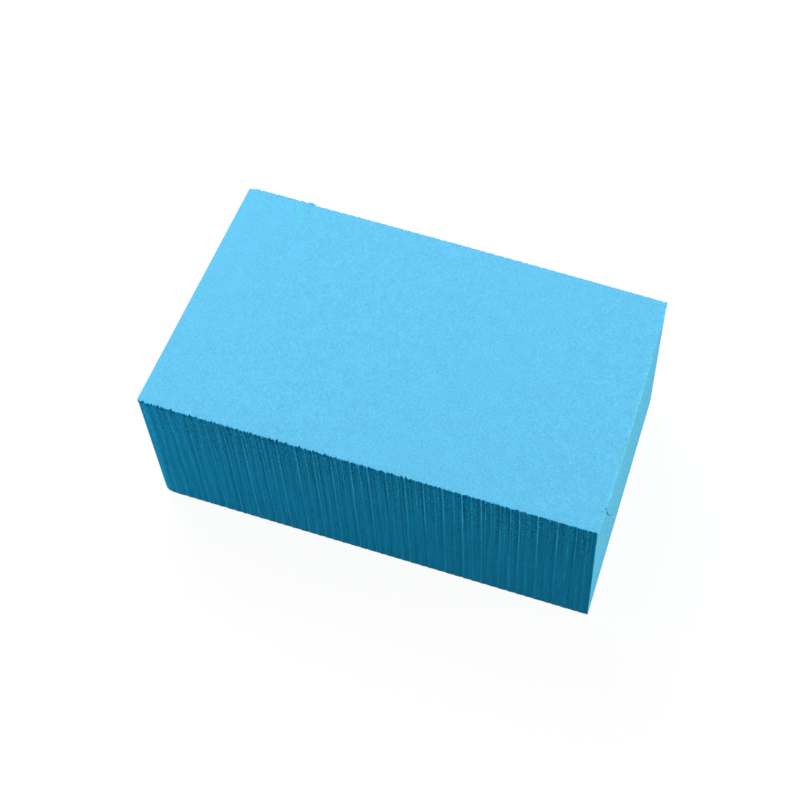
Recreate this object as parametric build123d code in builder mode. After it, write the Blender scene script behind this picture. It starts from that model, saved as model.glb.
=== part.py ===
from build123d import *
import math
import os

# Foam block: a rectangular piece sawn out of a slab of fine-celled foam.
#
# Frame: +X along the length, +Y from the front side to the back side, +Z up. The block rests on
# its base, the underside of the slab, and the origin is under the middle of it.
# Lengths are millimetres and angles are degrees.

# Driving dimensions, each measured through the middle of the block.
LENGTH = 100.0
WIDTH = 60.0
HEIGHT = 39.5
EDGE_RADIUS = 0.25  # cut foam has a crisp edge
WORN_CORNER = 1.6  # how far the crushed lower corner has gone back along each of its edges

# The cutting planes stand a little to one side of the origin, so that the box round the finished
# block is centred over it.
MIDDLE_X = -0.22
MIDDLE_Y = -0.05

# Soft foam moves under the blade, so no side is quite square. A turn is about the vertical, and a
# side with a positive lean faces up a little, so that its foot stands out.
FRONT_TURN = 0.4
FRONT_LEAN = -0.9
RIGHT_TURN = 0.9
RIGHT_LEAN = 0.9
BACK_TURN = -0.8
BACK_LEAN = -0.2
LEFT_TURN = -0.5
LEFT_LEAN = 0.2
TOP_FALL_RIGHT = 0.4  # the top falls a little towards the right end
TOP_FALL_BACK = -0.1  # and rises very slightly towards the back

SLAB_MARGIN = 10.0  # the rough slab is this much larger all round than the block cut from it


def side_plane(heading, distance, turn, lean):
    """The cutting plane of one side: it faces out of the block, that far from its middle."""
    out = math.radians(heading)
    faces = math.radians(heading + turn)
    tilt = math.radians(lean)
    point = (
        MIDDLE_X + distance * math.cos(out),
        MIDDLE_Y + distance * math.sin(out),
        HEIGHT / 2,
    )
    normal = (
        math.cos(faces) * math.cos(tilt),
        math.sin(faces) * math.cos(tilt),
        math.sin(tilt),
    )
    return Plane(origin=point, z_dir=normal)


def top_plane():
    """The plane that the slab was split along, through the middle of the block's top."""
    normal = (
        math.sin(math.radians(TOP_FALL_RIGHT)),
        math.sin(math.radians(TOP_FALL_BACK)),
        1,
    )
    return Plane(origin=(MIDDLE_X, MIDDLE_Y, HEIGHT), z_dir=normal)


def worn_plane(corner):
    """The plane that takes off a lower front left corner, as far back along all three edges."""
    return Plane(origin=corner + Vector(WORN_CORNER, 0, 0), z_dir=(-1, -1, -1))


with BuildPart() as foam_block:
    with BuildSketch(Plane.XY) as slab_outline:
        Rectangle(LENGTH + 2 * SLAB_MARGIN, WIDTH + 2 * SLAB_MARGIN)
    extrude(amount=HEIGHT + SLAB_MARGIN)

    # The two long sides are sawn, and the two ends are cut with a knife.
    split(bisect_by=side_plane(-90, WIDTH / 2, FRONT_TURN, FRONT_LEAN), keep=Keep.BOTTOM)
    split(bisect_by=side_plane(90, WIDTH / 2, BACK_TURN, BACK_LEAN), keep=Keep.BOTTOM)
    split(bisect_by=side_plane(0, LENGTH / 2, RIGHT_TURN, RIGHT_LEAN), keep=Keep.BOTTOM)
    split(bisect_by=side_plane(180, LENGTH / 2, LEFT_TURN, LEFT_LEAN), keep=Keep.BOTTOM)
    split(bisect_by=top_plane(), keep=Keep.BOTTOM)

    # The lower front left corner is crushed and rounded off by handling.
    foot = foam_block.vertices().group_by(Axis.Z)[0].sort_by(Axis.Y)[:2].sort_by(Axis.X)[0]
    split(bisect_by=worn_plane(foot.center()), keep=Keep.BOTTOM)

    fillet(foam_block.edges(), radius=EDGE_RADIUS)

foam_block.part.label = "foam_block"

os.makedirs("parts", exist_ok=True)
export_step(foam_block.part, "parts/foam_block.step")

box = foam_block.part.bounding_box()
print(f"foam_block: {box.size.X:.2f} x {box.size.Y:.2f} x {box.size.Z:.2f} mm")
print(f"box centre: {box.center().X:.3f}, {box.center().Y:.3f}; lowest {box.min.Z:.3f}")
print(f"volume: {foam_block.part.volume / 1000:.2f} cm3, faces: {len(foam_block.faces())}")
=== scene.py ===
import math

import bmesh
import bpy
import numpy as np
from mathutils import Matrix, Vector


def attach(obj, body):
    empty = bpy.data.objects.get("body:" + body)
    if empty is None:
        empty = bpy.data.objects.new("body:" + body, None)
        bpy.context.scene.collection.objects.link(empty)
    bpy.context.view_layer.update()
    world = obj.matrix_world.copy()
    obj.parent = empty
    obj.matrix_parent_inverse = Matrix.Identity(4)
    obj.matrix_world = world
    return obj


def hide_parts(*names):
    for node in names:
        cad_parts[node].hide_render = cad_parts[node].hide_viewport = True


# Foam block: a piece sawn out of a slab of light blue fine-celled foam. Its long sides show the
# marks of the saw, its ends were cut with a knife, and its top and base are the split faces of
# the slab. Lengths are in metres unless a comment says otherwise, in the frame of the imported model.

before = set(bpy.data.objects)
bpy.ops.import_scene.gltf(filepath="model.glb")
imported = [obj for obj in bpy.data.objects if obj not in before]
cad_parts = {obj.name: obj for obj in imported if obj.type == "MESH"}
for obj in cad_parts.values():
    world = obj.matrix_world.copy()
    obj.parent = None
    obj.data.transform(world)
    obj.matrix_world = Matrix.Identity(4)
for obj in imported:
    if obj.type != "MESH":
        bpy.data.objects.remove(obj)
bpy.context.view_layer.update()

MM = 0.001
NODE = "foam_block"
SEED = 7


# ---------------------------------------------------------------- wiring of node trees

class Wiring:
    """Adds nodes to one tree. Each call makes a node, links or sets its inputs, and returns its output."""

    def __init__(self, tree):
        self.tree = tree

    def node(self, kind, inputs=(), output=0, **settings):
        made = self.tree.nodes.new(kind)
        for name, value in settings.items():
            setattr(made, name, value)
        for key, value in dict(inputs).items():
            self.feed(made.inputs[key], value)
        return made.outputs[output]

    def feed(self, socket, value):
        if isinstance(value, bpy.types.NodeSocket):
            self.tree.links.new(value, socket)
        else:
            socket.default_value = value

    def math(self, operation, *values):
        return self.node("ShaderNodeMath", enumerate(values), operation=operation)

    def add(self, first, *more):
        total = first
        for value in more:
            total = self.math("ADD", total, value)
        return total

    def times(self, first, *more):
        total = first
        for value in more:
            total = self.math("MULTIPLY", total, value)
        return total

    def less(self, a, b):
        return self.math("SUBTRACT", a, b)

    def over(self, a, b):
        return self.math("DIVIDE", a, b)

    def vector(self, x=0.0, y=0.0, z=0.0):
        return self.node("ShaderNodeCombineXYZ", enumerate((x, y, z)))

    def vector_math(self, operation, *values):
        return self.node("ShaderNodeVectorMath", enumerate(values), operation=operation)

    def scaled(self, vector, factor):
        return self.node("ShaderNodeVectorMath", {0: vector, "Scale": factor}, operation="SCALE")

    def parts(self, vector):
        return self.node("ShaderNodeSeparateXYZ", {0: vector}).node.outputs

    def ramp(self, value, low, high, start=0.0, end=1.0):
        """Where value is from low to high, smoothed, as a place from start to end."""
        inputs = {"Value": value, "From Min": low, "From Max": high, "To Min": start, "To Max": end}
        return self.node("ShaderNodeMapRange", inputs, interpolation_type="SMOOTHSTEP")

    def noise(self, vector, detail=1.0, roughness=0.5):
        """Noise from about -1 to 1, with one grain to each unit of the vector."""
        inputs = {"Vector": vector, "Scale": 1.0, "Detail": detail, "Roughness": roughness}
        return self.math("MULTIPLY_ADD", self.node("ShaderNodeTexNoise", inputs), 2.0, -1.0)

    def draw(self, number, lot):
        """A random value from 0 to 1 for each whole number, another one in each lot."""
        return self.node("ShaderNodeTexWhiteNoise", {"Vector": self.vector(number, lot, 0.5)})


# ---------------------------------------------------------------- the block's true corners

# The six sides, by the axis that each one faces along and which way.
SIDES = {
    "left": (0, -1),
    "right": (0, 1),
    "front": (1, -1),
    "back": (1, 1),
    "base": (2, -1),
    "top": (2, 1),
}
IN_LINE = 0.999  # a face lies in a side when this much of its normal points the side's way
CORNERS = [(x, y, z) for x in ("left", "right") for y in ("front", "back") for z in ("base", "top")]


def side_planes(mesh):
    """The plane of each side, from the faces of the solid that lie in it: its normal and its distance."""
    areas = np.array([face.area for face in mesh.polygons])
    normals = np.array([face.normal for face in mesh.polygons])
    middles = np.array([face.center for face in mesh.polygons])
    planes = {}
    for side, (axis, way) in SIDES.items():
        flat = normals[:, axis] * way > IN_LINE
        normal = (normals[flat] * areas[flat, None]).sum(0)
        normal /= np.linalg.norm(normal)
        planes[side] = (normal, float(np.average(middles[flat] @ normal, weights=areas[flat])))
    return planes


def corner_point(planes, corner):
    normals = np.array([planes[side][0] for side in corner])
    reaches = np.array([planes[side][1] for side in corner])
    return np.linalg.solve(normals, reaches)


planes = side_planes(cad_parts[NODE].data)
corners = {corner: corner_point(planes, corner) for corner in CORNERS}


def mean_reach(side):
    """How far a side stands from the origin, as the mean of its four corners."""
    axis = SIDES[side][0]
    return float(np.mean([point[axis] for corner, point in corners.items() if side in corner]))


LOW = Vector([mean_reach(side) for side in ("left", "front", "base")])
HIGH = Vector([mean_reach(side) for side in ("right", "back", "top")])
LENGTH, WIDTH, HEIGHT = HIGH - LOW


# ---------------------------------------------------------------- the sawn block

# The rows of points that the block is made of, and how strongly they crowd towards its edges.
COLUMNS = 1001
ROWS_ACROSS = 17
ROWS_UP = 17
CROWDING = 2.5
ON_A_SIDE = 0.4999  # a point of the unit box that is this far from its middle lies on a side

PITS_PER_M2 = 34000  # open cells in each square metre of a split face, before they are spaced out
PITS_IN_CUTS = 0.3  # how many there are in a cut face, as a share
UPRIGHT = 0.3  # a face whose normal rises or falls by less than this is a cut one
LEVEL = 0.9  # and one whose normal rises or falls by more than this is a split one
RAGGED_AT_ALL = 0.01
CRUMBS_PER_M2 = 6e6  # crumbs in each square metre of a ragged edge, before they are spaced out
CREASE = 38  # degrees; sharper edges than this stay crisp
HAIR = 0.00002 * MM  # points closer than this are one point

# The marks in one bite of the saw: each one's place in the bite, and its height as a share.
TEETH = [(0.4, 1.0), (0.65, 0.5), (0.97, 0.6), (0.16, 0.4), (0.8, 0.3)]

# One mark: the height of its crest, and the depth and width of the groove beside it, as shares.
CREST_HEIGHT = 1.4
GROOVE_DEPTH = 0.4
GROOVE_WIDTH = 2.6

# How the marks vary, as shares.
TOOTH_PLAY = 0.08  # of a bite: how far a mark strays about its place
FAINTEST = 0.75  # the faintest mark of a tooth beside its strongest
SOFT_FROM = 0.1  # of the score fade: how far down the marks begin to soften
SOFT_WIDER = 0.8
SOFT_LOWER = 0.73
MARK_STRENGTH = 0.95  # of the score height: how high the marks are on the whole
PATCHINESS = 0.3  # how much stronger and weaker they are in patches
FAINT_AT_LEFT = 0.3  # the strength of the marks at the left end
FAINT_TO = (-0.48, -0.25)  # of the length, from the middle: where they gain strength

# How the nicks vary, as shares.
NICK_KEEN = 0.2  # a nick has its full depth where the foam is this weak
NICK_AVOIDS_CRESTS = 0.2
NICKS_BEHIND = 0.3  # the back side's nicks, and the lip between them, beside the front's
NICKS_AT_RIGHT = 0.5  # their depth at the right end
NICKS_CLEAR = (0.12, 0.32)  # of the length, from the middle: where they grow shallow
NICK_PATCHES = (-0.35, 0.25)  # the values of their noise that are shallow and deep patches
NICK_SHALLOW = 0.5

BOW_OUTSIDE = 0.6  # the share of the back's bow that lies outside its true plane
WEAR_REACH = 2.5  # how far wear reaches round the crushed corner, by that corner's size
WAVES = 2  # ripples in one bite
WAVE_DRIFT = 0.4  # of a bite: how far the ripples stray from it
WAVE_SHOWS = 0.08  # how strongly a ripple shows beside a score
SECOND_STROKE = 0.25  # how ragged the back edge is past the step, beside its left end
FRONT_RAGGED = 0.35  # and how ragged the front edge is

# Copies of a small shape are stretched each way, and then sized, between these shares.
NARROWEST = 0.6
WIDEST = 1.2
THICKEST = 0.9
SMALLEST = 0.35
LARGEST = 1.1

# The lots that the random draws are taken from; the numbers mean nothing else.
SIDE_LOT = 31
TOOTH_LOT = 3
NICK_LOT = 13
NICK_PATCH_LOT = 6
SCORING_LOT = 7
DRIFT_LOT = 3
SWAY_LOT = 3
DROP_LOT = 9
RIM_LUMP_LOT = 5
CRUMB_LOT = 10
PIT_LOT = 20
PIT_SHAPE_LOT = 30

# What the block's tree is fed, in millimetres.
SHAPE = {
    "Edge Radius": 0.15,
    "Grip": 1.6,  # how far round an edge the marks of the next side are felt
    "Saw Pitch": 4.03,  # the length of one bite
    "Score Height": 0.175,
    "Score Width": 0.21,  # from a score's crest to its foot
    "Score Bend": 0.08,  # how far the scores swing to the left as they come up to the top edge
    "Bend Depth": 5.0,
    "Wander": 0.12,  # how far a score strays to each side on its way down
    "Wander Grain": 9.0,
    "Wander Depth": 14.0,
    "Score Fade": 24.0,  # how far down the side the scores have grown soft
    "Patch Grain": 3.0,  # the patches in which the scores are stronger and weaker
    "Patch Depth": 12.0,
    "Scoring": 0.06,  # fine scratches between the scores
    "Scoring Grain": 0.5,
    "Scoring Depth": 22.0,
    "Ripple": 0.035,  # the even waves between the scores
    "Drift Grain": 7.0,
    "Drift Depth": 45.0,
    "Fray": 0.5,  # the depth of the nicks along a sawn top edge
    "Fray Grain": 0.72,
    "Fray Drop Grain": 1.4,
    "Fray Patch": 7.0,
    "Fray Depth": 1.5,
    "Fray Lip": 0.2,  # how far the edge stands out between its nicks
    "Run Out": 0.3,  # the left end of a sawn side falls away this much
    "Run Out Length": 2.2,
    "Sag": 0.05,  # unevenness of the split and knife-cut faces
    "Sag Grain": 14.0,
    "Bow": 0.25,  # the back side swells out this much in its middle, at the top edge
    "Step": 0.25,  # the left end of the back side was cut in another stroke and stands proud
    "Step Length": 15.7,
    "Step Run": 1.2,
    "Stroke Run": 2.0,
    "Burr": 0.22,  # a torn flake where the two strokes meet
    "Burr Reach": 1.6,
    "End Bow": 0.4,  # the knife-cut right end swells out this much in its middle, at the top edge
    "Worn Corner": 0.5,  # the crushed lower corner at the front left
    "Rim Size": 0.2,  # the burr that the knife left along the right end's top edge, by its radius
    "Rim Sway": 0.25,
    "Rim Sway Grain": 1.6,
    "Rim Drop": 0.2,
    "Rim Drop Grain": 1.5,
    "Rim Lump Grain": 0.9,
    "Pit Size": 0.24,  # the open cells, by their radius
    "Pit Spacing": 1.5,
    "Crumb Size": 0.3,  # the crumbs of foam that cling to the sawn edges, by their radius
    "Crumb Spacing": 0.35,
    "Slit Width": 0.25,
    "Flake Size": 0.3,
}


# The flakes on the front's top edge: each one's share of the length and the height, and of the flake size.
FLAKES = {
    "Flake at the right": (0.768, 0.985, 1.0),
    "Flake at the middle": (0.684, 1.0, 0.9),
    "Flake at the left": (0.453, 0.998, 0.7),
}
FLAKE_HEIGHT = 1.3  # a flake's height beside its width


def tree_input(tree, name, kind, value=None):
    socket = tree.interface.new_socket(name, in_out="INPUT", socket_type=kind)
    if value is not None:
        socket.default_value = value
    return socket


def crowded(w, share, length):
    """Places along a length for shares of -0.5 to 0.5, with rows that crowd towards both ends."""
    from_end = w.math("MAXIMUM", w.less(1, w.times(w.math("ABSOLUTE", share), 2)), 0)
    reach = w.less(1, w.math("POWER", from_end, CROWDING))
    return w.times(w.math("SIGN", share), reach, w.over(length, 2))


def score(w, off, width):
    """The section of one saw mark: a crest with a shallow groove at each side of it."""
    away = w.math("ABSOLUTE", off)
    crest = w.ramp(away, 0, width, CREST_HEIGHT, 0)
    groove = w.ramp(away, 0, w.times(width, GROOVE_WIDTH), GROOVE_DEPTH, 0)
    return w.less(crest, groove)


def saw_scores(w, x, side, below_top, size):
    """The scored lines of one saw cut: how far each point stands out, up to 1 on the strongest crest."""
    bend = w.times(w.ramp(below_top, 0, size["Bend Depth"], 1, 0), size["Score Bend"])
    path = w.vector(w.over(x, size["Wander Grain"]), side, w.over(below_top, size["Wander Depth"]))
    wander = w.times(w.noise(path), size["Wander"])
    along = w.over(w.add(x, bend, wander), size["Saw Pitch"])
    bite = w.math("FLOOR", along)
    within = w.less(along, bite)
    soft = w.ramp(below_top, w.times(size["Score Fade"], SOFT_FROM), size["Score Fade"])
    width = w.times(size["Score Width"], w.add(1, w.times(soft, SOFT_WIDER)))
    total = None
    for number, (place, height) in enumerate(TEETH):
        lot = w.add(w.times(side, SIDE_LOT), TOOTH_LOT * number)
        shift = w.times(w.less(w.draw(bite, lot), 0.5), TOOTH_PLAY)
        off = w.times(w.less(w.less(within, place), shift), size["Saw Pitch"])
        strength = w.ramp(w.draw(bite, w.add(lot, 1)), 0, 1, FAINTEST * height, height)
        mark = w.times(score(w, off, width), strength)
        total = mark if total is None else w.add(total, mark)
    patch = w.vector(w.over(x, size["Patch Grain"]), side, w.over(below_top, size["Patch Depth"]))
    patchy = w.add(MARK_STRENGTH, w.times(w.noise(patch), PATCHINESS))
    faint, full = (w.times(size["Length"], share) for share in FAINT_TO)
    keener = w.ramp(x, faint, full, FAINT_AT_LEFT, 1)
    return w.times(total, keener, patchy, w.less(1, w.times(soft, SOFT_LOWER)))


def fray(w, x, side, below_top, scores, size):
    """The nicks along the top edge of a sawn side, 1 where one is deepest, and how near the edge is."""
    drop = w.over(below_top, size["Fray Drop Grain"])
    place = w.vector(w.over(x, size["Fray Grain"]), w.times(side, NICK_LOT), drop)
    weak = w.less(w.noise(place, detail=2.0), w.times(scores, NICK_AVOIDS_CRESTS))
    near = w.ramp(below_top, 0, size["Fray Depth"], 1, 0)
    cleaner_behind = w.less((1 + NICKS_BEHIND) / 2, w.times(side, (1 - NICKS_BEHIND) / 2))
    deep, shallow = (w.times(size["Length"], share) for share in NICKS_CLEAR)
    cleaner_right = w.ramp(x, deep, shallow, 1, NICKS_AT_RIGHT)
    patch = w.noise(w.vector(w.over(x, size["Fray Patch"]), side, NICK_PATCH_LOT))
    patchy = w.ramp(patch, *NICK_PATCHES, NICK_SHALLOW, 1)
    return w.times(near, w.ramp(weak, 0, NICK_KEEN), cleaner_behind, cleaner_right, patchy), near


def back_cut(w, x, z, near_top, size):
    """The shape of the back side: a bow, a proud left end and a torn flake where its two cuts meet."""
    from_left = w.add(x, w.over(size["Length"], 2))
    share = w.over(x, w.over(size["Length"], 2))
    bow = w.times(w.less(BOW_OUTSIDE, w.times(share, share)), size["Bow"])
    meet = size["Step Length"]
    step = w.times(w.ramp(from_left, meet, w.add(meet, size["Step Run"]), 1, 0), size["Step"])
    half_height = w.over(size["Height"], 2)
    upper = w.ramp(z, w.times(half_height, -1), half_height)
    from_burr = w.math("ABSOLUTE", w.less(from_left, meet))
    burr = w.times(w.ramp(from_burr, 0, size["Burr Reach"], 1, 0), near_top, size["Burr"])
    return w.add(burr, w.times(upper, w.add(bow, step)))


def end_bow(w, y, size):
    """How far the top edge of the right end swells out, at each place across the block."""
    share = w.over(y, w.over(size["Width"], 2))
    return w.times(w.less(1, w.times(share, share)), size["End Bow"])


def rounded(w, x, y, z, size):
    """Rounds the edges: a point near one lies on a circle round the core, a larger one where it is worn."""
    half = w.scaled(w.vector(size["Length"], size["Width"], size["Height"]), 0.5)
    place = w.vector(x, y, z)
    to_corner = w.vector_math("DISTANCE", place, w.scaled(half, -1)).node.outputs["Value"]
    wear = w.ramp(to_corner, 0, w.times(size["Worn Corner"], WEAR_REACH), 1, 0)
    radius = w.add(size["Edge Radius"], w.times(wear, w.less(size["Worn Corner"], size["Edge Radius"])))
    core = w.vector_math("SUBTRACT", half, w.vector(radius, radius, radius))
    inner = w.vector_math("MAXIMUM", w.vector_math("MINIMUM", place, core), w.scaled(core, -1))
    outward = w.vector_math("NORMALIZE", w.vector_math("SUBTRACT", place, inner))
    return w.vector_math("ADD", inner, w.scaled(outward, radius))


def drawn_out(w, place, size):
    """Draws a square box out to the block's true corners."""
    x, y, z = w.parts(place)
    shares = {
        "right": w.add(0.5, w.over(x, size["Length"])),
        "back": w.add(0.5, w.over(y, size["Width"])),
        "top": w.add(0.5, w.over(z, size["Height"])),
    }
    shares["left"] = w.less(1, shares["right"])
    shares["front"] = w.less(1, shares["back"])
    shares["base"] = w.less(1, shares["top"])
    drawn = None
    for corner in CORNERS:
        share = w.times(*(shares[name] for name in corner))
        reach = w.scaled(size["Corner " + " ".join(corner)], share)
        drawn = reach if drawn is None else w.vector_math("ADD", drawn, reach)
    return drawn


def stored(w, geometry, name, value):
    return w.node("GeometryNodeStoreNamedAttribute", {"Geometry": geometry, "Name": name, "Value": value})


def sawn_box(w, size):
    """The block before its crumbs and pits: a box of fine rows that carries the marks of the saw."""
    cube = {"Size": (1, 1, 1), "Vertices X": COLUMNS, "Vertices Y": ROWS_ACROSS, "Vertices Z": ROWS_UP}
    made = w.node("GeometryNodeMeshCube", cube)
    box = w.parts(w.node("GeometryNodeInputPosition"))
    x = w.times(box[0], size["Length"])
    y = crowded(w, box[1], size["Width"])
    z = crowded(w, box[2], size["Height"])
    side = w.math("SIGN", box[1])
    below_top = w.less(w.over(size["Height"], 2), z)
    scores = saw_scores(w, x, side, below_top, size)
    deep = w.over(z, size["Scoring Depth"])
    scoring_place = w.vector(w.over(x, size["Scoring Grain"]), w.times(side, SCORING_LOT), deep)
    scoring = w.noise(scoring_place, detail=2.0, roughness=0.6)
    deep = w.over(z, size["Drift Depth"])
    drift = w.noise(w.vector(w.over(x, size["Drift Grain"]), w.times(side, DRIFT_LOT), deep))
    turns = w.add(w.over(x, size["Saw Pitch"]), w.times(drift, WAVE_DRIFT))
    ripple = w.math("COSINE", w.times(turns, 2 * math.pi * WAVES))
    from_left = w.add(x, w.over(size["Length"], 2))
    nicks, near_top = fray(w, x, side, below_top, scores, size)
    stands_out = w.add(
        w.times(scores, size["Score Height"]),
        w.times(scoring, size["Scoring"]),
        w.times(ripple, size["Ripple"]),
        w.times(w.ramp(from_left, 0, size["Run Out Length"], -1, 0), size["Run Out"]),
        w.times(near_top, size["Fray Lip"], w.ramp(side, -1, 1, 1, NICKS_BEHIND)),
        w.times(nicks, size["Fray"], -1),
        w.times(w.math("GREATER_THAN", side, 0), back_cut(w, x, z, near_top, size)),
    )
    felt = w.ramp(w.less(w.over(size["Width"], 2), w.math("ABSOLUTE", y)), 0, size["Grip"], 1, 0)

    sag = w.times(w.noise(w.scaled(w.vector(x, y, z), w.over(1, size["Sag Grain"]))), size["Sag"])
    end = w.times(w.math("SIGN", box[0]), w.math("GREATER_THAN", w.math("ABSOLUTE", box[0]), ON_A_SIDE))
    top = w.math("GREATER_THAN", box[2], ON_A_SIDE)
    swell = w.times(w.math("GREATER_THAN", end, 0), w.ramp(below_top, 0, w.over(size["Height"], 2), 1, 0))
    end_marks = w.add(w.times(end, sag), w.times(swell, end_bow(w, y, size)))
    marks = w.vector(end_marks, w.times(side, felt, stands_out), w.times(top, sag))
    marked = w.vector_math("ADD", rounded(w, x, y, z, size), marks)

    # The scores with their ripples, and the nicks, are kept for the foam, which paints highlight on the
    # crests and shade in the grooves and nicks.
    made = stored(w, made, "score", w.add(scores, w.times(ripple, WAVE_SHOWS)))
    made = stored(w, made, "nick", nicks)
    back = w.math("GREATER_THAN", box[1], ON_A_SIDE)
    front = w.math("LESS_THAN", box[1], -ON_A_SIDE)
    stroke_end = w.add(size["Step Length"], size["Stroke Run"])
    stroke = w.ramp(from_left, size["Step Length"], stroke_end, 1, SECOND_STROKE)
    ragged = w.times(top, w.add(w.times(back, stroke), w.times(front, FRONT_RAGGED)))
    made = stored(w, made, "ragged", ragged)
    return w.node("GeometryNodeSetPosition", {"Geometry": made, "Position": drawn_out(w, marked, size)})


def scattered(w, points, shape, radius, seed, flattest):
    """Copies of a small shape at these points, each turned and sized by chance."""
    turn = w.node(
        "FunctionNodeRandomValue",
        {"Min": (0, 0, 0), "Max": (2 * math.pi,) * 3, "Seed": w.add(seed, 1)},
        data_type="FLOAT_VECTOR",
    )
    least, most = (NARROWEST, NARROWEST, flattest), (WIDEST, WIDEST, THICKEST)
    spread = w.node(
        "FunctionNodeRandomValue",
        {"Min": least, "Max": most, "Seed": w.add(seed, 2)},
        data_type="FLOAT_VECTOR",
    )
    grade = w.node("FunctionNodeRandomValue", {2: SMALLEST, 3: LARGEST, "Seed": w.add(seed, 3)})
    inputs = {
        "Points": points,
        "Instance": shape,
        "Rotation": w.node("FunctionNodeEulerToRotation", {0: turn}),
        "Scale": w.scaled(spread, w.times(grade, radius)),
    }
    copies = w.node("GeometryNodeInstanceOnPoints", inputs)
    return w.node("GeometryNodeRealizeInstances", {"Geometry": copies})


def united(w, *solids):
    joined = w.node("GeometryNodeMeshBoolean", operation="UNION", solver="MANIFOLD")
    for solid in reversed(solids):
        w.feed(joined.node.inputs["Mesh 2"], solid)
    return joined


def cut(w, block, tool):
    meshes = {"Mesh 1": block, "Mesh 2": tool}
    return w.node("GeometryNodeMeshBoolean", meshes, operation="DIFFERENCE", solver="MANIFOLD")


def lump(w, grain, depth, paleness):
    """An uneven ball of torn foam, with a radius of about one."""
    ball = w.node("GeometryNodeMeshIcoSphere", {"Radius": 1.0, "Subdivisions": 2})
    here = w.node("GeometryNodeInputPosition")
    uneven = w.times(w.noise(w.scaled(here, grain), detail=2.0), depth)
    ball = w.node("GeometryNodeSetPosition", {"Geometry": ball, "Offset": w.scaled(here, uneven)})
    return stored(w, ball, "torn", paleness)


def crumbs_on(w, block, size):
    """Torn crumbs of foam that cling to the ragged edges."""
    ragged = w.node("GeometryNodeInputNamedAttribute", {"Name": "ragged"})
    spots = {
        "Mesh": block,
        "Selection": w.math("GREATER_THAN", ragged, RAGGED_AT_ALL),
        "Distance Min": size["Crumb Spacing"],
        "Density Max": CRUMBS_PER_M2,
        "Density Factor": ragged,
        "Seed": size["Seed"],
    }
    points = w.node("GeometryNodeDistributePointsOnFaces", spots, distribute_method="POISSON")
    crumb = lump(w, grain=1.4, depth=0.6, paleness=1.0)
    return scattered(w, points, crumb, size["Crumb Size"], w.add(size["Seed"], CRUMB_LOT), flattest=0.4)


def flakes_on(w, size):
    """The loose flakes that stand on the front's top edge."""
    flake = lump(w, grain=1.1, depth=0.5, paleness=0.85)
    flakes = []
    for name, (_, _, share) in FLAKES.items():
        width = w.times(size["Flake Size"], share)
        stretch = w.vector(width, width, w.times(width, FLAKE_HEIGHT))
        spot = {"Geometry": flake, "Translation": size[name], "Scale": stretch}
        flakes.append(w.node("GeometryNodeTransform", spot))
    return flakes


# The rim that the knife left, with its thickness in shares of the rim size.
RIM_POINTS = 240
RIM_THICK = 0.7
RIM_LUMPS = 1.3
RIM_THINNEST = 0.25
RIM_HANGS = 0.7  # how far below the edge it hangs, as a share of the rim drop
# How far the rim takes the pale colour of torn foam with painted highlight.
RIM_PALENESS = 0.55


def knife_rim(w, size):
    """The thin uneven burr along the top edge of the right end."""
    ends = {"Start": size["Corner right front top"], "End": size["Corner right back top"]}
    line = w.node("GeometryNodeCurvePrimitiveLine", ends)
    line = w.node("GeometryNodeResampleCurve", {"Curve": line, "Count": RIM_POINTS})
    along = w.parts(w.node("GeometryNodeInputPosition"))[1]
    sway = w.noise(w.vector(w.over(along, size["Rim Sway Grain"]), SWAY_LOT), detail=2.0)
    drop = w.noise(w.vector(w.over(along, size["Rim Drop Grain"]), DROP_LOT), detail=2.0)
    outward = w.add(w.times(sway, size["Rim Sway"]), end_bow(w, along, size))
    offset = w.vector(outward, 0.0, w.times(w.add(drop, -RIM_HANGS), size["Rim Drop"]))
    line = w.node("GeometryNodeSetPosition", {"Geometry": line, "Offset": offset})
    lumps = w.noise(w.vector(w.over(along, size["Rim Lump Grain"]), RIM_LUMP_LOT), detail=2.0)
    thick = w.math("MAXIMUM", w.add(RIM_THICK, w.times(lumps, RIM_LUMPS)), RIM_THINNEST)
    section = w.node("GeometryNodeCurvePrimitiveCircle", {"Resolution": 8, "Radius": size["Rim Size"]})
    bead = {"Curve": line, "Profile Curve": section, "Scale": thick, "Fill Caps": True}
    return stored(w, w.node("GeometryNodeCurveToMesh", bead), "torn", RIM_PALENESS)


def pits_in(w, block, size):
    """Scattered open cells, most of them in the split faces."""
    facing = w.parts(w.node("GeometryNodeInputNormal", output="True Normal"))
    split = w.ramp(w.math("ABSOLUTE", facing[2]), UPRIGHT, LEVEL, PITS_IN_CUTS, 1)
    spots = {
        "Mesh": block,
        "Distance Min": size["Pit Spacing"],
        "Density Max": PITS_PER_M2,
        "Density Factor": split,
        "Seed": w.add(size["Seed"], PIT_LOT),
    }
    points = w.node("GeometryNodeDistributePointsOnFaces", spots, distribute_method="POISSON")
    ball = w.node("GeometryNodeMeshIcoSphere", {"Radius": 1.0, "Subdivisions": 1})
    ball = stored(w, ball, "pit", 1.0)
    return scattered(w, points, ball, size["Pit Size"], w.add(size["Seed"], PIT_SHAPE_LOT), flattest=0.6)


# Three points on the slit's curve, each by its shares of the length, the width and the height.
SLIT = {
    "Slit Start": (1.0015, 0.095, 1.01),
    "Slit Middle": (1.001, 0.17, 0.7),
    "Slit End": (1, 0.31, 0.37),
}
SLIT_TIP = 0.35  # the slit's width at its lower end beside its upper one


def knife_slit(w, size):
    """The thin curved slit that a knife point left in the right end."""
    path = {name.removeprefix("Slit "): size[name] for name in SLIT}
    path = w.node("GeometryNodeCurveQuadraticBezier", {"Resolution": 12} | path)
    along = w.node("GeometryNodeSplineParameter")
    taper = w.ramp(along, 0, 1, 1, SLIT_TIP)
    blade = w.node("GeometryNodeCurvePrimitiveCircle", {"Resolution": 6, "Radius": size["Slit Width"]})
    slit = {"Curve": path, "Profile Curve": blade, "Scale": taper, "Fill Caps": True}
    return stored(w, w.node("GeometryNodeCurveToMesh", slit), "slit", 1.0)


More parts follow.
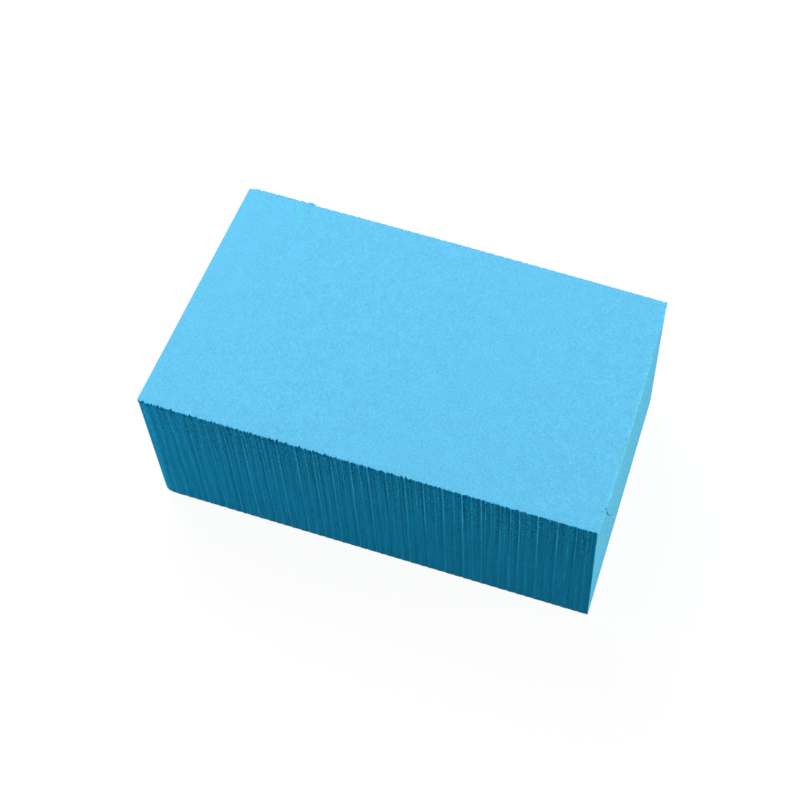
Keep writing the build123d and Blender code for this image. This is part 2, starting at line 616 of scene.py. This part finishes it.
def block_tree():
    """Builds the block: sawn, frayed, burred, and pitted with open cells."""
    tree = bpy.data.node_groups.new("Sawn foam block", "GeometryNodeTree")
    tree.is_modifier = True
    tree_input(tree, "Geometry", "NodeSocketGeometry")
    for name in ("Length", "Width", "Height"):
        tree_input(tree, name, "NodeSocketFloat")
    for name, value in SHAPE.items():
        tree_input(tree, name, "NodeSocketFloat", value * MM)
    for corner in CORNERS:
        tree_input(tree, "Corner " + " ".join(corner), "NodeSocketVector")
    for name in (*SLIT, *FLAKES):
        tree_input(tree, name, "NodeSocketVector")
    tree_input(tree, "Seed", "NodeSocketInt", SEED)
    tree_input(tree, "Foam", "NodeSocketMaterial")
    tree.interface.new_socket("Geometry", in_out="OUTPUT", socket_type="NodeSocketGeometry")
    w = Wiring(tree)
    size = tree.nodes.new("NodeGroupInput").outputs

    block = sawn_box(w, size)
    block = united(w, block, crumbs_on(w, block, size), knife_rim(w, size), *flakes_on(w, size))
    block = cut(w, block, pits_in(w, block, size))
    block = cut(w, block, knife_slit(w, size))
    block = w.node("GeometryNodeMergeByDistance", {"Geometry": block, "Distance": HAIR})
    block = w.node("GeometryNodeTriangulate", {"Mesh": block})
    shaded = w.node("GeometryNodeSetShadeSmooth", {"Geometry": block, "Shade Smooth": True})
    bend = w.node("GeometryNodeInputMeshEdgeAngle")
    crease = {"Geometry": shaded, "Selection": w.math("GREATER_THAN", bend, math.radians(CREASE))}
    creased = w.node("GeometryNodeSetShadeSmooth", crease | {"Shade Smooth": False}, domain="EDGE")
    whole = w.node("GeometryNodeRealizeInstances", {"Geometry": creased})
    finished = w.node("GeometryNodeSetMaterial", {"Geometry": whole, "Material": size["Foam"]})
    w.feed(tree.nodes.new("NodeGroupOutput").inputs[0], finished)
    return tree


def grown(tree, name, values):
    """The mesh that a tree makes with these values at its inputs."""
    seed_mesh = bpy.data.meshes.new(name + "_seed")
    holder = bpy.data.objects.new(name + "_holder", seed_mesh)
    bpy.context.scene.collection.objects.link(holder)
    modifier = holder.modifiers.new(tree.name, "NODES")
    modifier.node_group = tree
    for item in tree.interface.items_tree:
        if item.in_out == "INPUT" and item.name in values:
            modifier[item.identifier] = values[item.name]
    graph = bpy.context.evaluated_depsgraph_get()
    mesh = bpy.data.meshes.new_from_object(holder.evaluated_get(graph), depsgraph=graph)
    mesh.name = name
    bpy.data.objects.remove(holder)
    return mesh


# ---------------------------------------------------------------- foam

def srgb(red, green, blue):
    """A linear colour from display values of 0 to 255."""
    shares = [value / 255 for value in (red, green, blue)]
    linear = [s / 12.92 if s <= 0.04045 else ((s + 0.055) / 1.055) ** 2.4 for s in shares]
    return (*linear, 1.0)


SPLIT_BLUE = srgb(104, 202, 245)  # the closed skin of the split faces
KNIFE_BLUE = srgb(106, 208, 244)
SAWN_BLUE_WITH_PAINTED_SHADE = srgb(22, 171, 225)  # the sawn faces: deeper and more saturated than the skin, partly their open cells and partly painted shade
CREST_BLUE_WITH_PAINTED_HIGHLIGHT = srgb(80, 216, 252)  # torn cell walls along a scored line: lighter partly as torn foam and partly as painted highlight on the crests
# Painted shade for the grooves, nicks, slit and open cells of the sawn faces.
PAINTED_SHADE_BLUE = srgb(8, 128, 190)
PIT_SHADE_BLUE = srgb(60, 160, 212)  # painted shade inside an open cell
GLINT_HIGHLIGHT_BLUE = srgb(150, 230, 252)  # painted glint, where a cell wall is bent up to the light
TORN_BLUE_WITH_PAINTED_HIGHLIGHT = srgb(122, 225, 254)  # crumbs, burrs and flakes: paler partly as torn foam and partly as painted highlight where they stand up into the light

# The size of each marking, in millimetres; with three numbers, along the block, across it and up it.
GRAIN = 0.48
CLOUD = 2.4
CELL = 0.2
DRAG = (0.42, 9.0, 16.0)  # streaks that the saw left
SCRATCH = (0.22, 5.0, 9.0)
SMEAR = (4.0, 0.55, 0.9)  # streaks that the knife left
COARSER = (20.0, 38.0)  # the heights between which the grain of a sawn side grows coarser

# Spots: how far apart and how wide they are, the share of the places that have one, and their lot.
# Pinholes: spots of painted shade.
PAINTED_PINHOLE_SHADE = (1.2, 0.4, 0.3, 1)
# Glints: spots of painted highlight.
GLINTS = (2.0, 0.34, 0.3, 4)
SPOT_EDGE = (0.3, 0.5)  # where a spot begins and ends to fade, in shares of its width

# How strongly each marking takes its colour: the crests and glints a painted highlight, the grooves, nicks,
# pinholes, pits and slit a painted shade.
CREST_SHOWS = 0.74
CREST_FULL = 0.75  # the score at which a crest has all of its colour
GROOVE_SHOWS = 0.65
GROOVE_FULL = -0.35  # and the one at which a groove has all of its colour
NICK_SHOWS = 0.8
PINHOLE_SHADE_SHOWS = 0.45
GLINT_SHOWS = 0.6
PIT_SHOWS = 0.7
SLIT_SHOWS = 0.8

# How far each marking lightens and darkens the foam.
GRAIN_TONE = 0.33
SAWN_GRAIN_TONE = 0.27
COARSE_GRAIN_TONE = 0.8
KNIFED_GRAIN_TONE = 0.12
CLOUD_TONE = 0.08
DRAG_TONE = 0.42
SMEAR_TONE = 0.48
SCUFF_TONE = 0.24

# The finish, and the relief too fine for the mesh.
ROUGHNESS = 0.75
ROUGHNESS_PLAY = 0.1
GLOSS = 0.06
CELL_RELIEF = 0.5
SCRATCH_RELIEF = 1.2
RELIEF_DEPTH = 0.05 * MM
RELIEF_SHOWS = 0.8

# The rub across the front, in millimetres: its height, and its middle and half length along the block.
SCUFF_HEIGHT = 15.9
SCUFF_MIDDLE = 34.5
SCUFF_REACH = 12.0
SCUFF_WANDER = 0.5
SCUFF_WANDER_GRAIN = 6.0
SCUFF_GRAIN = (2.4, 2.0)  # the gaps in it, along and up
SCUFF_EDGE = (0.1, 1.0)  # from its middle line: where it begins to fade and where it ends
SCUFF_GAPS = (-0.1, 0.3)  # the values of its noise at a gap's middle and at its edge
SCUFF_LOT = 2
SCUFF_GAP_LOT = 5


def mixed(w, share, first, second):
    inputs = {"Factor": share, "A": first, "B": second}
    made = w.tree.nodes.new("ShaderNodeMix")
    made.data_type = "RGBA"
    for socket in made.inputs:
        if socket.identifier in ("Factor_Float", "A_Color", "B_Color"):
            w.feed(socket, inputs[socket.name])
    return next(socket for socket in made.outputs if socket.identifier == "Result_Color")


def stored_value(w, name):
    return w.node("ShaderNodeAttribute", attribute_name=name, output="Fac")


def specks(w, place, spacing, size, share, lot):
    """Small round spots about this far apart, on this share of the cells, in millimetres."""
    moved = w.vector_math("ADD", w.scaled(place, 1 / spacing), (lot, 2.3 * lot, 5.1 * lot))
    cells = w.node("ShaderNodeTexVoronoi", {"Vector": moved, "Scale": 1.0})
    chosen = w.math("LESS_THAN", w.parts(cells.node.outputs["Color"])[0], share)
    inner, outer = (share * size / spacing for share in SPOT_EDGE)
    return w.times(w.ramp(cells, inner, outer, 1, 0), chosen)


def streaks(w, place, grain, detail, roughness):
    """Noise with grains of this length along the block, across it and up it, in millimetres."""
    shares = (w.over(distance, length) for distance, length in zip(w.parts(place), grain))
    return w.noise(w.vector(*shares), detail=detail, roughness=roughness)


def scuff(w, x, z):
    """A faint broken rub across the right half of the front, in millimetres."""
    wander = w.noise(w.vector(w.over(x, SCUFF_WANDER_GRAIN), SCUFF_LOT))
    level = w.add(z, w.times(wander, SCUFF_WANDER))
    off = w.math("ABSOLUTE", w.less(level, SCUFF_HEIGHT))
    reach = w.ramp(w.math("ABSOLUTE", w.less(x, SCUFF_MIDDLE)), 0.8 * SCUFF_REACH, SCUFF_REACH, 1, 0)
    gap = w.vector(w.over(x, SCUFF_GRAIN[0]), SCUFF_GAP_LOT, w.over(z, SCUFF_GRAIN[1]))
    return w.times(w.ramp(off, *SCUFF_EDGE, 1, 0), reach, w.ramp(w.noise(gap), *SCUFF_GAPS))


def foam_material():
    material = bpy.data.materials.new("blue_foam")
    material.use_nodes = True
    w = Wiring(material.node_tree)
    shader = material.node_tree.nodes["Principled BSDF"]
    place = w.scaled(w.node("ShaderNodeTexCoord", output="Object"), 1 / MM)
    x, _, z = w.parts(place)
    sawn = stored_value(w, "sawn")
    score = w.times(stored_value(w, "score"), sawn)

    # Colour: the marks of the saw, cell grain and cloudiness; painted shade in the grooves, nicks,
    # pinholes, pits and slit; painted highlight on the crests, glints and crumbs.
    knifed = stored_value(w, "knifed")
    coarse = w.times(sawn, w.ramp(z, *COARSER))
    grain = w.noise(w.scaled(place, 1 / GRAIN), detail=3.0, roughness=0.7)
    cloud = w.noise(w.scaled(place, 1 / CLOUD), detail=3.0, roughness=0.6)
    drag = streaks(w, place, DRAG, detail=3.0, roughness=0.7)
    smear = streaks(w, place, SMEAR, detail=3.0, roughness=0.7)
    # The sawn faces take a deeper blue, partly painted shade.
    colour = mixed(w, sawn, SPLIT_BLUE, SAWN_BLUE_WITH_PAINTED_SHADE)
    colour = mixed(w, knifed, colour, KNIFE_BLUE)
    # Painted highlight along the crests of the saw marks, on top of their lighter torn foam.
    colour = mixed(w, w.ramp(score, 0, CREST_FULL, 0, CREST_SHOWS), colour, CREST_BLUE_WITH_PAINTED_HIGHLIGHT)
    # Painted shade in the grooves beside the crests and in the nicks along the sawn top edge.
    colour = mixed(w, w.ramp(score, 0, GROOVE_FULL, 0, GROOVE_SHOWS), colour, PAINTED_SHADE_BLUE)
    colour = mixed(w, w.times(stored_value(w, "nick"), sawn, NICK_SHOWS), colour, PAINTED_SHADE_BLUE)
    # The painted shade of an open cell, deeper on the sawn faces.
    painted_pit_shade = mixed(w, sawn, PIT_SHADE_BLUE, PAINTED_SHADE_BLUE)
    painted_glint = mixed(w, sawn, GLINT_HIGHLIGHT_BLUE, CREST_BLUE_WITH_PAINTED_HIGHLIGHT)
    # Painted shade in the pinholes.
    colour = mixed(w, w.times(specks(w, place, *PAINTED_PINHOLE_SHADE), PINHOLE_SHADE_SHOWS), colour, painted_pit_shade)
    # Painted glints where cell walls are bent up to the light.
    colour = mixed(w, w.times(specks(w, place, *GLINTS), GLINT_SHOWS), colour, painted_glint)
    # Painted shade in the open cells cut into the faces.
    colour = mixed(w, w.times(stored_value(w, "pit"), PIT_SHOWS), colour, painted_pit_shade)
    # Painted shade in the knife slit.
    colour = mixed(w, w.times(stored_value(w, "slit"), SLIT_SHOWS), colour, PAINTED_SHADE_BLUE)
    grain_tone = w.add(
        GRAIN_TONE,
        w.times(sawn, SAWN_GRAIN_TONE),
        w.times(coarse, COARSE_GRAIN_TONE),
        w.times(knifed, KNIFED_GRAIN_TONE),
    )
    tone = w.add(
        1.0,
        w.times(grain, grain_tone),
        w.times(cloud, CLOUD_TONE),
        w.times(drag, sawn, DRAG_TONE),
        w.times(smear, knifed, SMEAR_TONE),
        w.times(scuff(w, x, z), sawn, SCUFF_TONE),
    )
    # Crumbs, burrs and flakes take a pale colour, partly torn foam and partly painted highlight.
    colour = mixed(w, stored_value(w, "torn"), w.scaled(colour, tone), TORN_BLUE_WITH_PAINTED_HIGHLIGHT)
    w.feed(shader.inputs["Base Color"], colour)

    w.feed(shader.inputs["Roughness"], w.add(ROUGHNESS, w.times(grain, ROUGHNESS_PLAY)))
    shader.inputs["Specular IOR Level"].default_value = GLOSS

    # Relief too fine for the mesh: the cells themselves, and the finest scratches of the saw.
    cells = w.noise(w.scaled(place, 1 / CELL), detail=2.0, roughness=0.65)
    scratch = streaks(w, place, SCRATCH, detail=2.0, roughness=0.6)
    relief = w.add(w.times(cells, CELL_RELIEF), grain, w.times(scratch, sawn, SCRATCH_RELIEF))
    bump = {"Height": relief, "Distance": RELIEF_DEPTH, "Strength": RELIEF_SHOWS}
    w.feed(shader.inputs["Normal"], w.node("ShaderNodeBump", bump))
    return material


# ---------------------------------------------------------------- the map for the foam's finish

MAP_MARGIN = 3 * MM
# Where each side lies on the map: the side's own two axes, across and up, and its place in the layout.
MAP_AXES = {"top": (0, 1), "base": (0, 1), "front": (0, 2), "back": (2, 0), "left": (2, 1), "right": (2, 1)}


def map_places():
    """The low corner of each side's patch, in metres on a square sheet, and the sheet's width."""
    step = Vector((LENGTH, WIDTH, HEIGHT)) + Vector((MAP_MARGIN, MAP_MARGIN, MAP_MARGIN))
    along, across, up = step
    places = {
        "top": (0, 0),
        "base": (0, across),
        "front": (0, 2 * across),
        "back": (along, 0),
        "left": (along, along),
        "right": (along + up, 0),
    }
    return places, along + 2 * up + MAP_MARGIN


def nearest_sides(mesh):
    """For each face, the number of the side of the block that it lies nearest to, in the order of SIDES."""
    middles = np.empty(3 * len(mesh.polygons))
    mesh.polygons.foreach_get("center", middles)
    middles = middles.reshape(-1, 3)
    depths = [planes[name][1] - middles @ planes[name][0] for name in SIDES]
    return np.argmin(depths, axis=0)


def mark_faces(mesh, name, nearest, *chosen):
    """Gives the mesh a value that is 1 on the faces of the chosen sides and 0 on the others."""
    numbers = [list(SIDES).index(side) for side in chosen]
    mark = mesh.attributes.new(name, "FLOAT", "FACE")
    mark.data.foreach_set("value", np.isin(nearest, numbers).astype(np.float32))


def lay_out_map(mesh, nearest):
    """Gives the mesh a map with one flat patch for each side of the block."""
    corners_at = np.empty(len(mesh.loops), np.int32)
    mesh.loops.foreach_get("vertex_index", corners_at)
    points = np.empty(3 * len(mesh.vertices))
    mesh.vertices.foreach_get("co", points)
    points = points.reshape(-1, 3)
    counts = np.empty(len(mesh.polygons), np.int32)
    mesh.polygons.foreach_get("loop_total", counts)
    side_at = np.repeat(nearest, counts)
    places, sheet = map_places()
    uv = np.zeros((len(corners_at), 2))
    for number, name in enumerate(SIDES):
        mine = side_at == number
        first, second = MAP_AXES[name]
        at = points[corners_at[mine]]
        flat = np.stack([at[:, first] - LOW[first], at[:, second] - LOW[second]], 1)
        uv[mine] = (flat + places[name] + MAP_MARGIN) / sheet
    layer = mesh.uv_layers.new(name="OFBake")
    layer.uv.foreach_set("vector", uv.astype(np.float32).ravel())


# ---------------------------------------------------------------- making the piece

def corner_mix(x, y, z):
    """A point of the block by its shares of the length, the width and the height."""
    shares = {"right": x, "left": 1 - x, "back": y, "front": 1 - y, "top": z, "base": 1 - z}
    return sum(
        (point * math.prod(shares[name] for name in corner) for corner, point in corners.items()),
        np.zeros(3),
    )


def without_flaps(mesh):
    """Removes the flaps that the cuts leave, each of them two faces back to back on the same points."""
    skin = bmesh.new()
    skin.from_mesh(mesh)
    faces_on = {}
    for face in skin.faces:
        faces_on.setdefault(frozenset(face.verts), []).append(face)
    flaps = [face for faces in faces_on.values() if len(faces) > 1 for face in faces]
    bmesh.ops.delete(skin, geom=flaps, context="FACES")
    skin.to_mesh(mesh)
    skin.free()
    mesh.validate()  # joins the two edges that each flap hung between


def make_block():
    values = {"Length": LENGTH, "Width": WIDTH, "Height": HEIGHT, "Foam": foam_material()}
    values |= {"Corner " + " ".join(corner): point for corner, point in corners.items()}
    values |= {name: corner_mix(x, 0.0, z) for name, (x, z, _) in FLAKES.items()}
    values |= {name: corner_mix(*shares) for name, shares in SLIT.items()}
    mesh = grown(block_tree(), "blue_foam_block", values)
    for name in ("ragged", "id"):
        if name in mesh.attributes:
            mesh.attributes.remove(mesh.attributes[name])
    without_flaps(mesh)
    nearest = nearest_sides(mesh)
    mark_faces(mesh, "sawn", nearest, "front", "back")
    mark_faces(mesh, "knifed", nearest, "left", "right")
    lay_out_map(mesh, nearest)
    piece = bpy.data.objects.new("blue_foam_block", mesh)
    bpy.context.scene.collection.objects.link(piece)
    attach(piece, "root")
    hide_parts(NODE)
    return piece


make_block()


# ---------------------------------------------------------------- floor, light and camera

MIDDLE = (LOW + HIGH) / 2

FLOOR_REACH = 4.0
FLOOR_TONE = 1.02  # how light the floor looks where nothing shades it
FLOOR_SHADE = 0.09  # how much of the floor's tone follows the light, so that it keeps a shadow
FLOOR_BOUNCE = 0.17  # what the floor gives back to the block

SKY = 0.262  # the strength of the soft light from all round
KEY = 2.46  # watts of the lamp behind the block, at the left
SIDE = 1.72  # watts of the lamp off its right end
FILL = 0.38  # watts of the lamp low at the front left

CAMERA_LENS = 69.41
CAMERA_AIM = MIDDLE + Vector((-2.255, -1.179, 0)) * MM
CAMERA_DISTANCE = 0.34709
CAMERA_AZIMUTH = 22.037
CAMERA_ELEVATION = 57.248
CAMERA_ROLL = -3.09


def seen_by_eye(w):
    """1 for a ray that the camera, a gloss or a clear body looks along, and 0 for light."""
    path = w.tree.nodes.new("ShaderNodeLightPath").outputs
    seen = w.math("MAXIMUM", path["Is Camera Ray"], path["Is Glossy Ray"])
    return w.math("MAXIMUM", seen, path["Is Transmission Ray"])


def floor_material():
    material = bpy.data.materials.new("pale_floor")
    material.use_nodes = True
    nodes = material.node_tree.nodes
    nodes.clear()
    w = Wiring(material.node_tree)
    eye = seen_by_eye(w)
    plain = w.node("ShaderNodeBsdfDiffuse", {"Color": (FLOOR_BOUNCE,) * 3 + (1,)})
    shaded = w.node("ShaderNodeBsdfDiffuse", {"Color": (FLOOR_SHADE,) * 3 + (1,)})
    glow = w.node("ShaderNodeEmission", {"Color": (1, 1, 1, 1), "Strength": FLOOR_TONE - FLOOR_SHADE})
    pale = w.node("ShaderNodeAddShader", {0: shaded, 1: glow})
    both = w.node("ShaderNodeMixShader", {0: eye, 1: plain, 2: pale})
    w.feed(nodes.new("ShaderNodeOutputMaterial").inputs["Surface"], both)
    return material


def make_floor():
    mesh = bpy.data.meshes.new("floor")
    low, high = -FLOOR_REACH, FLOOR_REACH
    points = [(low, low, 0), (high, low, 0), (high, high, 0), (low, high, 0)]
    mesh.from_pydata(points, [], [(0, 1, 2, 3)])
    mesh.materials.append(floor_material())
    floor = bpy.data.objects.new("floor", mesh)
    bpy.context.scene.collection.objects.link(floor)


def make_sky():
    world = bpy.data.worlds.new("studio")
    world.use_nodes = True
    bpy.context.scene.world = world
    w = Wiring(world.node_tree)
    world.node_tree.nodes.clear()
    strength = w.add(SKY, w.times(seen_by_eye(w), 1 - SKY))
    light = w.node("ShaderNodeBackground", {"Color": (1, 1, 1, 1), "Strength": strength})
    w.feed(world.node_tree.nodes.new("ShaderNodeOutputWorld").inputs["Surface"], light)


def turned(azimuth, elevation, roll=0.0):
    """The turn of a thing that looks at the block from this bearing and height, in degrees."""
    return (
        Matrix.Rotation(math.radians(azimuth), 4, "Z")
        @ Matrix.Rotation(math.radians(90 - elevation), 4, "X")
        @ Matrix.Rotation(math.radians(roll), 4, "Z")
    )


def softbox(name, azimuth, elevation, distance, size, watts):
    """A square lamp that faces the block, by its bearing from the front, to the right, and its height."""
    lamp = bpy.data.lights.new(name, "AREA")
    lamp.size = size
    lamp.energy = watts
    holder = bpy.data.objects.new(name, lamp)
    away = turned(azimuth, elevation) @ Matrix.Translation((0, 0, distance))
    holder.matrix_world = Matrix.Translation(MIDDLE) @ away
    bpy.context.scene.collection.objects.link(holder)


def make_camera():
    lens = bpy.data.cameras.new("camera")
    lens.lens = CAMERA_LENS
    camera = bpy.data.objects.new("camera", lens)
    turn = turned(CAMERA_AZIMUTH, CAMERA_ELEVATION, CAMERA_ROLL)
    away = turn @ Matrix.Translation((0, 0, CAMERA_DISTANCE))
    camera.matrix_world = Matrix.Translation(CAMERA_AIM) @ away
    bpy.context.scene.collection.objects.link(camera)
    bpy.context.scene.camera = camera


bpy.context.scene.view_settings.view_transform = "Standard"
make_floor()
make_sky()
softbox("key_softbox", azimuth=-140, elevation=50, distance=0.6, size=0.35, watts=KEY)
softbox("side_softbox", azimuth=91, elevation=22, distance=0.55, size=0.3, watts=SIDE)
softbox("fill_card", azimuth=-70, elevation=10, distance=0.3, size=0.15, watts=FILL)
make_camera()
